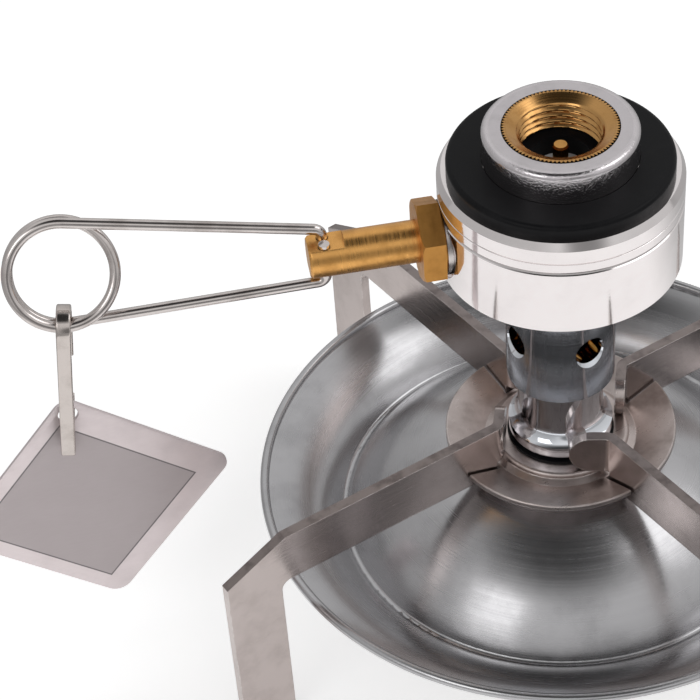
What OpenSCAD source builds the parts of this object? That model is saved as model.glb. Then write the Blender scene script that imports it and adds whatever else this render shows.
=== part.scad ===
// Screw-on gas burner for a camping cartridge, standing on its pot arms with the gas inlet upwards.
// Millimetres, +Z up. The inlet thread's axis is Z and the gasket's sealing face lies on Z = 0.
// The valve spindle points along -X.

/* [Pan] */
// Outer diameter over the rolled edge
pan_d = 85.4; // [75:0.2:105]
// Sheet thickness
pan_t = 0.8; // [0.5:0.1:1]
// Height of the flat centre's upper face above the pot-arm tips
pan_h = 27; // [22:0.1:36]
// Radius of the flat centre
plateau_r = 11.5; // [11.4:0.1:14]
// Radius of the circular trough
trough_r = 31; // [28:0.1:36]
// Depth of the trough below the flat centre
trough_drop = 12.4; // [10:0.1:15]
// Height of the rolled edge's centre above the trough's floor
rim_rise = 6.8; // [5:0.1:9]
// Radius of the rolled edge's section
rim_bead_r = 0.65; // [0.5:0.05:1]

/* [Pot arms] */
// Radius from the thread axis to a leg's outer edge
arm_reach = 54.2; // [50:0.1:66]
// Strip thickness
arm_t = 1.4; // [1:0.1:2.4]
// Height of the strip above the pan's centre
arm_h = 8.15; // [6.5:0.05:10]
// Width of the upright leg
leg_w = 8; // [5:0.1:10]
// Direction of the first arm
arm_turn = 23; // [0:1:45]
// Angle from the first pair of arms to the second
arm_cross = 94; // [85:1:95]
// Radius where the inner tab bends off
tab_r = 11.2; // [11:0.1:12.5]
// Angle of the inner tab's bend
tab_bend = 50; // [48:1:60]
// Length of the tab past its bend
tab_len = 4.9; // [3.5:0.1:6]

/* [Support ring] */
// Outer diameter of the brim
ring_d = 32; // [28:0.2:40]
// Diameter of the raised hub
hub_d = 19; // [17:0.2:19.4]
// Height of the hub
hub_t = 2; // [1.4:0.05:2.4]
// Brim thickness
brim_t = 0.8; // [0.6:0.1:1]
// Rise of the brim from hub to edge
brim_rise = 1.8; // [0.3:0.1:2]

/* [Mixing tube] */
// Length from the hub to the valve body
tube_len = 32.3; // [26:0.05:42]
// Diameter of the upper collar
tube_d = 14.76; // [14:0.02:18]
// Length of the upper collar
tube_collar_len = 20.7; // [17:0.1:22]
// Diameter of the neck
neck_d = 11.7; // [10.8:0.1:13]
// Diameter of the lower flange
flange_d = 14.4; // [12.6:0.1:14.4]
// Diameter of an air hole
air_d = 4; // [2:0.1:5]
// Height of the air holes below the valve body
air_drop = 12.5; // [9:0.1:15]
// Direction of the first air hole
air_turn = 20; // [0:1:45]

/* [Valve body] */
// Outer diameter
body_d = 31.6; // [30:0.1:38]
// Height
body_h = 14.4; // [13.5:0.1:18]
// Height of the spindle axis above the underside
spindle_rise = 5.5; // [5:0.1:7]

/* [Inlet] */
// Minor diameter of the cartridge thread
thread_minor_d = 10.3; // [10.2:0.05:10.5]
// Length of the cartridge thread
thread_len = 3.4; // [2.5:0.1:4.5]
// Outer diameter of the brass insert
insert_d = 14.9; // [14:0.1:16]
// Outer diameter of the steel collar
collar_d = 20; // [18:0.1:22]
// Height of the collar above the gasket
collar_h = 4.4; // [3:0.1:6]
// Outer diameter of the rubber gasket
gasket_d = 29.1; // [27:0.1:31]
// Thickness of the rubber gasket
gasket_t = 1.8; // [1.2:0.1:3]
// Diameter of the pin that opens the cartridge's valve
pin_d = 2; // [1.2:0.1:2.4]

/* [Spindle] */
// Rod diameter
spindle_d = 5.6; // [5:0.1:6.4]
// Distance from the thread axis to the rod's outer end
spindle_out = 33; // [30:0.5:40]
// Length of the flats at the outer end
flat_len = 4.7; // [4:0.1:7]
// Distance between the two flats
flat_gap = 4.3; // [3.8:0.1:4.6]
// Gland nut across its flats
nut_af = 10; // [9:0.1:11]
// Gland nut's hexagon length
nut_t = 3; // [2:0.1:4]
// Spindle travel between open and shut
spindle_travel = 0.75; // [0.5:0.05:0.8]

/* [Handle] */
// Wire diameter
wire_d = 1.45; // [1.2:0.05:1.6]
// Distance from the thread axis to the coil's centre
coil_out = 64.25; // [56:0.05:76]
// Height of the coil's centre above the spindle axis
coil_up = 2.75; // [0:0.05:4]
// Mean coil diameter
coil_d = 13.64; // [11:0.02:17]
// Advance of the coil in one turn
coil_pitch = 2.15; // [2:0.05:3]
// Lean of the handle's plane from upright
handle_lean = 29; // [10:1:40]

/* [Tag] */
// Side of the square plate
tag_side = 28; // [22:0.5:32]
// Plate thickness
tag_t = 0.5; // [0.3:0.1:1]
// Corner radius
tag_corner_r = 2.2; // [1:0.1:4]
// Diameter of the corner hole
tag_hole_d = 2.7; // [2.4:0.1:3.2]
// Distance of the hole from both edges
tag_hole_in = 2.2; // [2:0.1:4]
// Turn of the plate about the upright
tag_yaw = 6.3; // [0:0.1:15]
// Turn of the plate in its own plane
tag_roll = 4.2; // [-8:0.1:8]
// Width of the link's strip
link_w = 1.9; // [1.2:0.05:2]
// Thickness of the link's strip
link_t = 0.6; // [0.4:0.05:0.8]
// Drop from the coil wires to the plate's hole
link_drop = 15.6; // [12:0.1:19]
// Length of the link below the hole
link_tip = 5.8; // [3:0.1:8]
// Distance of the link outwards from the coil's lowest point
link_side = 0.74; // [0:0.02:1.5]
// Turn of the link about the upright
link_yaw = -6; // [-12:0.5:12]

/* [Hidden] */
$fn = 96;

// Clearances
fit = 0.05;
seat_gap = 0.05;
slot_gap = 0.3;
link_gap = 0.33;
lap = 0.15;

// Heights of the stack, from the gasket's sealing face
inlet_z = collar_h + 0.1;
top_z = -gasket_t;
body_z = top_z - body_h;
axis_z = body_z + spindle_rise;
hub_z = body_z - tube_len;
washer_t = 0.35;
flange_z = hub_z + washer_t;
plateau_z = hub_z - hub_t;
foot_z = plateau_z - pan_h;

// Mixing tube
spigot_r = 5;
tube_bore_r = 4.6;
tube_end_z = plateau_z - 5.8;
socket_r = 5.95;
spigot_len = 4.3;

// Inlet stack below the gasket
socket_deep = 3;
socket_z = top_z - socket_deep;
insert_z = socket_z + 0.8;
carrier_z = socket_z - 0.8;
carrier_r = 6.1;
filter_z = carrier_z - 1.4;
filter_well_z = carrier_z - 2;
seal_z = insert_z + 3.9;
boss_z = insert_z + 1.3;
seal_in_r = 3.7;
relief_r = 6;
lead_r = 5.55;
lead_drop = 0.7;
thread_top_z = inlet_z - 1;
thread_z = thread_top_z - thread_len;
collar_foot_r = collar_d / 2 - 0.5;
gasket_in_r = collar_d / 2 + fit;
pin_tip_z = inlet_z - 2.95;

// Distances along the spindle from the thread axis
spindle_r = spindle_d / 2;
seat_u = 1.2;
seat_r = 0.5;
tip_r = 0.2;
needle_slope = 0.3;
tip_u = seat_u - 0.85 + spindle_travel;
land_u = tip_u + 3.4;
groove_u = land_u + 0.9;
groove_w = 1.4;
screw_u = land_u + 3.4;
screw_end_u = screw_u + 3.3;
screw_r = spindle_r + 0.6;
nut_in_u = screw_end_u + 0.7;
face_u = body_d / 2 - 1;
washer_u = face_u + 0.8;
nut_u = washer_u + 0.25;
nut_spigot_r = 3.95;
hole_u = spindle_out - 2.1;
hole_y = 0.93;
hole_r = wire_d / 2 + 0.06;
o_ring_r = 0.6;

// Jet in the underside of the valve body
jet_top_z = axis_z - 3.3;
jet_seal_drop = 1.3;
jet_head_z = body_z - jet_seal_drop - 1.5;

// Pan profile
trough_in_r = 1;
trough_z = plateau_z - trough_drop + trough_in_r - pan_t / 2;
dome_z = plateau_z - pan_t / 2;
rim_r = pan_d / 2 - rim_bead_r;
rim_z = plateau_z - trough_drop + rim_rise;
rim_seat_z = rim_z - 0.6;
dome_tilt = 11;
brim_tilt = 10;

// Slope of the sheet where it runs into the trough, from the flat centre and from the rim
function inner_tilt(a) = 2 * atan2(dome_z - trough_z + trough_in_r * cos(a),
                                   trough_r - trough_in_r * sin(a) - plateau_r) - dome_tilt;
function outer_tilt(a) = 2 * atan2(rim_seat_z - trough_z + trough_in_r * cos(a),
                                   rim_r - trough_r - trough_in_r * sin(a)) - brim_tilt;
tilt_in = inner_tilt(inner_tilt(inner_tilt(inner_tilt(54))));
tilt_out = outer_tilt(outer_tilt(outer_tilt(outer_tilt(57))));
dome_r = (trough_r - trough_in_r * sin(tilt_in) - plateau_r) / (sin(tilt_in) - sin(dome_tilt));
shoulder_r = (rim_r - trough_r - trough_in_r * sin(tilt_out)) / (sin(tilt_out) - sin(brim_tilt));

// Pot arms
arm_z = plateau_z + seat_gap;
arm_top_z = arm_z + arm_h;
tab_z = hub_z + fit;
tab_in_r = 0.8;
leg_in = arm_reach - leg_w;
corner_run = 9.2;
corner_drop = 4.6;
leg_fillet = 1.5;
slot_r = tab_r - 0.4;

// Burner head under the pan
base_top_z = plateau_z - pan_t;
base_end_z = base_top_z - 12.2;
base_r = 11.2;
port_n = 28;

// Handle path, measured from the spindle axis: u outwards, y to the rear, z up
wire_r = wire_d / 2;
coil_r = coil_d / 2;
leg_low = -flat_gap / 2 - 1.4;
leg_high = flat_gap / 2 + 1.35;

// Turns at which the legs touch the coil, from its top outwards
leg_run = coil_out - hole_u;
rise_high = coil_up - hole_y * sin(handle_lean) - leg_high * cos(handle_lean);
rise_low = coil_up + hole_y * sin(handle_lean) - leg_low * cos(handle_lean);
coil_a0 = -asin(coil_r / norm([leg_run, rise_high])) - atan2(rise_high, leg_run);
coil_a1 = 540 + asin(coil_r / norm([leg_run, rise_low])) - atan2(rise_low, leg_run);
coil_half = coil_pitch * (coil_a1 - coil_a0) / 720;
wire_bend_r = 1.2;
wire_end = flat_gap / 2 + 0.5;

function unit(v) = v / norm(v);

// Angle of an arc of length s on radius r
function angle_of(s, r) = s / r * 180 / PI;

// A point given along the handle's leaning plane: u outwards, t up the plane, n through it
function lean(u, t, n) = [u, t * sin(handle_lean) + n * cos(handle_lean),
                          t * cos(handle_lean) - n * sin(handle_lean)];

function coil_n(a) = coil_pitch * (a - coil_a0) / 360 - coil_half;

function coil_point(a) = lean(coil_out + coil_r * sin(a), coil_up + coil_r * cos(a), coil_n(a));

// Points of an arc that rounds the corner b between a and c
function rounded(a, b, c, r, steps) =
    let (p = unit(a - b), q = unit(c - b), half = acos(p * q) / 2,
         mid = b + unit(p + q) * r / sin(half), s = b + p * r / tan(half), e = b + q * r / tan(half),
         x = unit(s - mid), w = unit((e - mid) - ((e - mid) * x) * x), sweep = 180 - 2 * half)
    [for (i = [0:steps]) mid + r * (cos(sweep * i / steps) * x + sin(sweep * i / steps) * w)];

function between(a, b, steps) = [for (i = [1:steps - 1]) a + (b - a) * i / steps];

low_top = [hole_u, -hole_y, wire_end];
low_corner = [hole_u, -hole_y, leg_low];
high_corner = [hole_u, hole_y, leg_high];
high_end = [hole_u, hole_y, -wire_end];
low_arc = rounded(low_top, low_corner, coil_point(coil_a1), wire_bend_r, 8);
high_arc = rounded(coil_point(coil_a0), high_corner, high_end, wire_bend_r, 8);
coil_steps = 92;
coil = [for (i = [0:coil_steps]) coil_point(coil_a1 + (coil_a0 - coil_a1) * i / coil_steps)];
handle_path = concat([low_top], between(low_top, low_arc[0], 3), low_arc,
                     between(low_arc[8], coil[0], 8), coil,
                     between(coil[coil_steps], high_arc[0], 8), high_arc,
                     between(high_arc[8], high_end, 3), [high_end]);

function path_tangents(p) =
    [for (i = [0:len(p) - 1]) unit(p[min(i + 1, len(p) - 1)] - p[max(i - 1, 0)])];

// A normal carried along the path without twist
function path_normals(t, first) =
    [for (i = 0, n = first; i < len(t); n = unit(n - (n * t[i]) * t[i]), i = i + 1)
        unit(n - (n * t[i]) * t[i])];

function tube_points(p, r, m) =
    let (t = path_tangents(p), n = path_normals(t, [0, 1, 0]))
    [for (i = [0:len(p) - 1]) let (b = cross(t[i], n[i])) for (k = [0:m - 1])
        p[i] + r * (cos(360 * k / m) * n[i] + sin(360 * k / m) * b)];

function tube_faces(c, m) =
    concat([[for (k = [0:m - 1]) k]],
           [for (i = [0:c - 2]) for (k = [0:m - 1])
               [i * m + k, (i + 1) * m + k, (i + 1) * m + (k + 1) % m]],
           [for (i = [0:c - 2]) for (k = [0:m - 1])
               [i * m + k, (i + 1) * m + (k + 1) % m, i * m + (k + 1) % m]],
           [[for (k = [m - 1:-1:0]) (c - 1) * m + k]]);

// Least gap of the wire to itself, over points at least four wire diameters apart along it
far_steps = 22;
handle_gap = min([for (i = [0:len(handle_path) - 1]) for (j = [i + far_steps:1:len(handle_path) - 1])
                  norm(handle_path[i] - handle_path[j])]) - wire_d;
echo(handle_gap = handle_gap);

// Middle of the two coil wires that the link hangs on
link_lean = asin(link_side / coil_r);
link_p = lean(coil_out + link_side, coil_up - coil_r * cos(link_lean), (coil_n(180) + coil_n(540)) / 2);
link_in_r = coil_pitch / 2 + wire_r + link_gap;
link_pivot = [-link_p[0], link_p[1], axis_z + link_p[2]];
tag_back = -0.165;
tag_run = link_drop * sin(link_lean);
tag_pivot = link_pivot + [-tag_run * cos(link_yaw) - tag_back * sin(link_yaw),
                          -tag_run * sin(link_yaw) + tag_back * cos(link_yaw), -link_drop * cos(link_lean)];
echo(link_pivot = link_pivot, link_lean = link_lean, tag_pivot = tag_pivot);
echo(inlet_face = inlet_z, spindle_axis = axis_z, thread_from = thread_z, thread_to = thread_top_z);

module hollow(ro, ri, z0, z1) {
    translate([0, 0, z0]) difference() {
        cylinder(r = ro, h = z1 - z0);
        translate([0, 0, -1]) cylinder(r = ri, h = z1 - z0 + 2);
    }
}

// Lays a shape built up Z along -X at the spindle's height
module along_spindle() {
    translate([0, 0, axis_z]) rotate([0, -90, 0]) children();
}

// Part of a flat ring of sheet, from angle a0 to angle a1 (less than half a turn)
module band(r, t, a0, a1) {
    reach = 3 * (r + t);
    intersection() {
        difference() {
            circle(r = r + t / 2);
            circle(r = r - t / 2);
        }
        polygon([[0, 0], reach * [cos(a0), sin(a0)], reach * [cos((a0 + a1) / 2), sin((a0 + a1) / 2)],
                 reach * [cos(a1), sin(a1)]]);
    }
}

// Straight sheet of thickness t from p to q
module sheet(p, q, t) {
    n = unit([p[1] - q[1], q[0] - p[0]]) * t / 2;
    polygon([p - n, q - n, q + n, p + n]);
}

// Turned valve housing with the spindle bore, the gas ways and the socket of the inlet
module valve_body() {
    r = body_d / 2;
    g = 0.2;
    color("gainsboro") difference() {
        union() {
            rotate_extrude() polygon([[0, body_z], [r - 0.3, body_z], [r, body_z + 0.3],
                [r, top_z - 4.9], [r - 0.15, top_z - 4.8], [r - g, top_z - 4.6],
                [r - 0.15, top_z - 4.4], [r, top_z - 4.3],
                [r, top_z - 3.1], [r - g, top_z - 3], [r, top_z - 2.9],
                [r, top_z - 1], [r - 0.6, top_z], [0, top_z]]);
            translate([0, 0, body_z - spigot_len]) cylinder(r = socket_r - fit, h = spigot_len + 1);
        }
        translate([0, 0, socket_z]) cylinder(r = collar_foot_r + fit, h = socket_deep + 1);
        translate([0, 0, carrier_z]) cylinder(r = carrier_r + fit, h = 2);
        translate([0, 0, filter_well_z]) cylinder(r = 3, h = 4);
        translate([-seat_u - 1.1, 0, axis_z]) cylinder(r = 0.6, h = filter_well_z - axis_z + 1);
        translate([0, 0, jet_top_z - 1]) cylinder(r = 0.7, h = axis_z - jet_top_z + 1);
        translate([0, 0, body_z - 8]) cylinder(r = 2 + fit, h = jet_top_z - body_z + 8);
        translate([0, 0, body_z - 8]) cylinder(r = 4, h = 8 - jet_seal_drop);
        along_spindle() {
            translate([0, 0, -0.4]) cylinder(r = seat_r, h = 20);
            translate([0, 0, seat_u]) cylinder(r = 1.6, h = 20);
            translate([0, 0, land_u - spindle_travel - 0.2]) cylinder(r = spindle_r + fit, h = 20);
            translate([0, 0, screw_u - spindle_travel - 0.2]) cylinder(r = screw_r + fit, h = 20);
            translate([0, 0, nut_in_u]) cylinder(r = nut_spigot_r + fit, h = 20);
            translate([0, 0, face_u]) cylinder(r = 5.4, h = 20);
        }
    }
}

// Steel collar that the cartridge's neck goes round
module inlet_collar() {
    r = collar_d / 2;
    e = 0.8;
    color("silver") difference() {
        rotate_extrude() {
            translate([insert_d / 2 + fit, insert_z])
                square([collar_foot_r - insert_d / 2 - fit, -insert_z + 0.2]);
            translate([insert_d / 2 + fit, 0]) square([r - insert_d / 2 - fit, collar_h - e]);
            translate([insert_d / 2 + fit, collar_h - e - 0.2])
                square([r - e - insert_d / 2 - fit, e + 0.2]);
            translate([r - e, collar_h - e]) intersection() {
                circle(r = e);
                square(e);
            }
            translate([carrier_r + fit, socket_z])
                square([collar_foot_r - carrier_r - fit, insert_z - socket_z + 0.2]);
        }
        translate([0, 0, insert_z]) cylinder(r = insert_d / 2 + fit, h = collar_h - insert_z + 1);
    }
}

// Brass insert with the cartridge thread's bore
module threaded_insert() {
    color("goldenrod") rotate_extrude() polygon([
        [relief_r, insert_z], [insert_d / 2, insert_z], [insert_d / 2, inlet_z - 0.15],
        [insert_d / 2 - 0.15, inlet_z], [lead_r, inlet_z - lead_drop], [thread_minor_d / 2, thread_top_z],
        [thread_minor_d / 2, thread_z], [relief_r, thread_z]]);
}

// Rubber ring at the bottom of the thread
module inlet_seal() {
    color("dimgray") hollow(relief_r - fit, seal_in_r, insert_z, seal_z);
}

// Disc with the gas holes that holds the pin
module pin_carrier() {
    color("silver") difference() {
        union() {
            translate([0, 0, carrier_z]) cylinder(r = carrier_r, h = insert_z - carrier_z);
            translate([0, 0, carrier_z + 0.5]) cylinder(r = seal_in_r - fit, h = boss_z - carrier_z - 0.5);
        }
        translate([0, 0, carrier_z + 0.4]) cylinder(r = pin_d / 2 + fit, h = 5);
        for (a = [30:120:270]) rotate([0, 0, a]) translate([2.2, 0, carrier_z - 1]) cylinder(r = 0.5, h = 6);
    }
}

// Pin that opens the cartridge's valve
module depressor_pin() {
    r = pin_d / 2;
    color("goldenrod") rotate_extrude() polygon([
        [0, carrier_z + 0.4], [r, carrier_z + 0.4], [r, pin_tip_z - 0.3],
        [r - 0.17, pin_tip_z], [0, pin_tip_z]]);
}

// Porous disc under the pin carrier
module inlet_filter() {
    color("peru") translate([0, 0, filter_z]) cylinder(r = 3 - fit, h = carrier_z - filter_z);
}

// Black rubber gasket that the cartridge seats on
module sealing_gasket() {
    r = gasket_d / 2;
    color("black") rotate_extrude() {
        translate([gasket_in_r, top_z]) square([r - 0.6 - gasket_in_r, gasket_t]);
        translate([gasket_in_r + 1, top_z]) square([r - gasket_in_r - 1, gasket_t - 0.6]);
        translate([r - 0.6, -0.6]) circle(r = 0.6);
    }
}

// Hexagon nut that closes the spindle bore
module gland_nut() {
    rc = nut_af / 2 / cos(30);
    color("darkgoldenrod") along_spindle() difference() {
        union() {
            intersection() {
                translate([0, 0, nut_u]) cylinder(r = rc, h = nut_t, $fn = 6);
                rotate_extrude() polygon([[0, nut_u], [rc, nut_u], [rc, nut_u + nut_t - 0.3],
                                          [rc - 0.5, nut_u + nut_t], [0, nut_u + nut_t]]);
            }
            translate([0, 0, washer_u]) cylinder(r = 4.4, h = nut_u - washer_u + 0.5);
            translate([0, 0, nut_in_u]) cylinder(r = nut_spigot_r, h = nut_u - nut_in_u);
        }
        translate([0, 0, nut_in_u - 1]) cylinder(r = spindle_r + fit, h = 20);
    }
}

// Steel washer under the gland nut
module gland_washer() {
    color("silver") along_spindle() hollow(4.9, nut_spigot_r + fit, face_u, washer_u);
}

// Needle spindle: cone, O-ring land, screw, rod and the flats with the two cross holes
module spindle() {
    color("goldenrod") along_spindle() difference() {
        union() {
            rotate_extrude() polygon([
                [0, tip_u], [tip_r, tip_u], [tip_r + needle_slope * (land_u - tip_u), land_u],
                [spindle_r, land_u], [spindle_r, groove_u],
                [spindle_r - 2 * o_ring_r, groove_u], [spindle_r - 2 * o_ring_r, groove_u + groove_w],
                [spindle_r, groove_u + groove_w], [spindle_r, screw_u - 0.2],
                [screw_r - 0.2, screw_u], [screw_r, screw_u + 0.2],
                [screw_r, screw_end_u - 0.2], [screw_r - 0.2, screw_end_u],
                [spindle_r, screw_end_u], [spindle_r, spindle_out - 0.3],
                [spindle_r - 0.3, spindle_out], [0, spindle_out]]);
        }
        for (s = [-1, 1]) translate([s * (flat_gap / 2 + 5), 0, spindle_out - flat_len / 2 + 1])
            cube([10, 20, flat_len + 2], center = true);
        for (s = [-1, 1]) translate([-10, s * hole_y, hole_u])
            rotate([0, 90, 0]) cylinder(r = hole_r, h = 20);
    }
}

// O-ring in the spindle's groove
module spindle_o_ring() {
    color("black") along_spindle() translate([0, 0, groove_u + groove_w / 2]) rotate_extrude()
        translate([spindle_r - o_ring_r + 0.015, 0]) circle(r = o_ring_r - 0.02);
}

// One bent wire: two legs through the spindle and a finger coil
module handle_wire() {
    color("silver") translate([0, 0, axis_z]) mirror([1, 0, 0])
        polyhedron(points = tube_points(handle_path, wire_r, 14), faces = tube_faces(len(handle_path), 14));
}

// Folded strip that hangs on the coil and passes through the plate's hole; drawn frontwards and up
module tag_link() {
    m = link_in_r + link_t / 2;
    u = 0.57;
    s = 0.6;
    low = -link_drop - link_tip + link_t / 2 + u;
    back = m - 2 * u;
    end = back - s - 1;
    color("lightgray") translate(link_pivot) rotate([0, link_lean, link_yaw])
        translate([link_w / 2, 0, 0]) rotate([90, 0, -90]) linear_extrude(link_w) {
        sheet([-m, -7.3], [-m, 0], link_t);
        band(m, link_t, 90, 180);
        band(m, link_t, 0, 90);
        sheet([m, 0], [m, low], link_t);
        translate([m - u, low]) {
            band(u, link_t, 180, 270);
            band(u, link_t, 270, 360);
        }
        sheet([back, low], [back, -link_drop - s], link_t);
        translate([back - s, -link_drop - s]) band(s, link_t, 0, 90);
        sheet([back - s, -link_drop], [end, -link_drop], link_t);
        translate([end, -link_drop + s]) band(s, link_t, 180, 270);
        sheet([end - s, -link_drop + s], [end - s, -link_drop + 2.6], link_t);
    }
}

// Square plate hanging by one corner
module tag_plate() {
    c = tag_corner_r;
    color("lightgray") translate(tag_pivot) rotate([0, 0, tag_yaw]) rotate([90, 0, 0])
        rotate([0, 0, 225 + tag_roll]) translate([-tag_hole_in, -tag_hole_in, -tag_t / 2])
        linear_extrude(tag_t) difference() {
            union() {
                translate([c, 0]) square([tag_side - 2 * c, tag_side]);
                translate([0, c]) square([tag_side, tag_side - 2 * c]);
                for (x = [c, tag_side - c]) for (y = [c, tag_side - c]) translate([x, y]) circle(r = c);
            }
            translate([tag_hole_in, tag_hole_in]) circle(d = tag_hole_d);
        }
}

// Brass jet with its fine hole
module jet() {
    color("goldenrod") difference() {
        union() {
            translate([0, 0, jet_head_z]) cylinder(r = 2, h = jet_top_z - jet_head_z);
            translate([0, 0, jet_head_z - 2.2]) cylinder(r = 3, h = 2.2, $fn = 6);
        }
        translate([0, 0, jet_head_z - 1.2]) cylinder(r = 0.8, h = 20);
        translate([0, 0, jet_head_z - 5]) cylinder(r = 0.15, h = 6);
    }
}

// Fibre washer under the jet's head
module jet_seal() {
    color("brown") hollow(3.4, 2 + fit, jet_head_z, body_z - jet_seal_drop);
}

// Chromed mixing tube: collar with the air holes, neck, flared flange and lower spigot
module mixing_tube() {
    rt = tube_d / 2;
    rn = neck_d / 2;
    rf = flange_d / 2;
    flare = 2.6;
    flare_z = flange_z + 4.65;
    collar_low = body_z - tube_collar_len;
    color("lightsteelblue") difference() {
        rotate_extrude() {
            polygon([[tube_bore_r, collar_low], [rt - 0.2, collar_low], [rt, collar_low + 0.2], [rt, body_z],
                     [socket_r, body_z], [socket_r, body_z - spigot_len - 0.4],
                     [tube_bore_r, body_z - spigot_len - 1.75]]);
            translate([tube_bore_r, flange_z + 2]) square([rn - tube_bore_r, collar_low - flange_z - 1]);
            difference() {
                translate([tube_bore_r, flange_z + 0.9]) square([rf - tube_bore_r, flare_z - flange_z - 0.9]);
                translate([rn + flare, flare_z]) circle(r = flare);
            }
            translate([tube_bore_r, flange_z]) square([rf - 0.9 - tube_bore_r, 1.8]);
            translate([rf - 0.9, flange_z + 0.9]) circle(r = 0.9);
            translate([3.7, tube_end_z]) square([spigot_r - 3.7, flange_z - tube_end_z + 2]);
        }
        for (a = [0:90:270]) rotate([0, 0, air_turn + a]) translate([rt, 0, body_z - air_drop])
            rotate([0, -90, 0]) {
            translate([0, 0, -1]) cylinder(d = air_d, h = rt);
            translate([0, 0, -0.5]) cylinder(d1 = air_d + 2, d2 = air_d, h = 1);
        }
    }
}

// Thin black ring under the tube's flange
module flange_washer() {
    color("black") hollow(flange_d / 2 + 0.2, spigot_r + fit, hub_z, flange_z);
}

// Pressed ring with a raised hub and four slots for the pot arms
module support_ring() {
    rh = hub_d / 2;
    e = 0.5;
    ro = ring_d / 2;
    color("darkgray") difference() {
        rotate_extrude() {
            translate([spigot_r + fit, plateau_z]) square([rh - spigot_r - fit, hub_t - e]);
            translate([spigot_r + fit, plateau_z]) square([rh - e - spigot_r - fit, hub_t]);
            translate([rh - e, hub_z - e]) intersection() {
                circle(r = e);
                square(e);
            }
            polygon([[rh - 0.3, plateau_z], [rh + 0.8, plateau_z], [ro, plateau_z + brim_rise],
                     [ro, plateau_z + brim_rise + brim_t - 0.15], [ro - 0.15, plateau_z + brim_rise + brim_t],
                     [rh + 1, plateau_z + brim_t], [rh - 0.3, plateau_z + brim_t + 0.6]]);
        }
        for (a = [0, 180]) for (b = [0, arm_cross]) rotate([0, 0, arm_turn + a + b])
            translate([slot_r, -arm_t / 2 - slot_gap, plateau_z - 5]) cube([30, arm_t + 2 * slot_gap, 20]);
    }
}

// Flat strip on edge: bent inner tab, arm, sloped outer corner and leg
module pot_arm(a) {
    rm = tab_in_r + arm_t / 2;
    h = arm_top_z - tab_z;
    p = [tab_r, -rm] + rm * [cos(90 + tab_bend), sin(90 + tab_bend)];
    color("darkgray") rotate([0, 0, a]) {
        translate([0, arm_t / 2, 0]) rotate([90, 0, 0]) linear_extrude(arm_t) {
            polygon([[tab_r, arm_z], [leg_in, arm_z], [leg_in, foot_z + 0.5], [leg_in + 0.5, foot_z],
                     [arm_reach - 0.5, foot_z], [arm_reach, foot_z + 0.5],
                     [arm_reach, arm_top_z - corner_drop], [arm_reach - corner_run, arm_top_z],
                     [tab_r, arm_top_z]]);
            difference() {
                translate([leg_in - leg_fillet, arm_z - leg_fillet])
                    square([leg_fillet + 0.5, leg_fillet + 0.5]);
                translate([leg_in - leg_fillet, arm_z - leg_fillet]) circle(r = leg_fillet);
            }
        }
        translate([tab_r, -rm, 0]) rotate([0, 0, 90]) rotate_extrude(angle = tab_bend)
            translate([tab_in_r, tab_z]) square([arm_t, h]);
        translate([p[0], p[1], 0]) rotate([0, 0, 180 + tab_bend]) translate([0, arm_t / 2, 0])
            rotate([90, 0, 0]) linear_extrude(arm_t) {
                translate([0, tab_z]) square([tab_len - h / 2, h]);
                translate([tab_len - h / 2, tab_z + h / 2]) circle(r = h / 2);
            }
    }
}

// Pot arms in turn round the ring
module pot_arm_1() {
    pot_arm(arm_turn);
}

module pot_arm_2() {
    pot_arm(arm_turn + arm_cross);
}

module pot_arm_3() {
    pot_arm(arm_turn + 180);
}

module pot_arm_4() {
    pot_arm(arm_turn + arm_cross + 180);
}

// Pressed pan: flat centre, dome, trough, shoulder and rolled edge
module burner_pan() {
    t = pan_t;
    dome = [plateau_r - dome_r * sin(dome_tilt), dome_z - dome_r * cos(dome_tilt)];
    shoulder = [rim_r + shoulder_r * sin(brim_tilt), rim_seat_z - shoulder_r * cos(brim_tilt)];
    color("darkgray") rotate_extrude() {
        translate([spigot_r + fit, dome_z - t / 2])
            square([plateau_r + t * sin(dome_tilt) - spigot_r - fit, t]);
        translate(dome) band(dome_r, t, 90 - tilt_in - angle_of(lap, dome_r), 90 - dome_tilt);
        translate([trough_r, trough_z]) {
            band(trough_in_r, t, 270 - tilt_in, 270);
            band(trough_in_r, t, 270, 270 + tilt_out);
        }
        translate(shoulder) band(shoulder_r, t, 90 + brim_tilt, 90 + tilt_out + angle_of(lap, shoulder_r));
        translate([rim_r, rim_z]) circle(r = rim_bead_r);
    }
}

// Brass burner head screwed on the tube's spigot under the pan
module burner_base() {
    color("goldenrod") difference() {
        rotate_extrude() {
            translate([spigot_r + fit, base_top_z - 2]) square([base_r - spigot_r - fit, 2]);
            translate([spigot_r + fit, base_top_z - 5]) square([2, 5]);
            translate([base_r - 1.7, base_top_z - 6.4]) square([1.7, 6]);
            translate([base_r - 1.2, base_end_z]) square([1.2, base_top_z - base_end_z - 1]);
        }
        for (i = [0:port_n - 1]) rotate([0, 0, 360 * i / port_n]) translate([base_r - 3, 0, base_end_z + 3.4])
            rotate([0, 90, 0]) cylinder(r = 0.65, h = 6);
    }
}

// Domed lid of the burner head
module burner_cap() {
    dome = 30;
    color("silver") difference() {
        union() {
            translate([0, 0, base_end_z]) cylinder(r = base_r - 1.2 - fit, h = 1.5);
            intersection() {
                translate([0, 0, base_end_z - 2.2]) cylinder(r = base_r, h = 2.2);
                translate([0, 0, base_end_z - 2.2 + dome]) sphere(r = dome);
            }
        }
    }
}

// Gauze disc that evens out the gas inside the burner head
module burner_gauze() {
    color("gray") translate([0, 0, base_top_z - 6.8]) cylinder(r = base_r - 1.2 - fit, h = 0.4);
}

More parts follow.
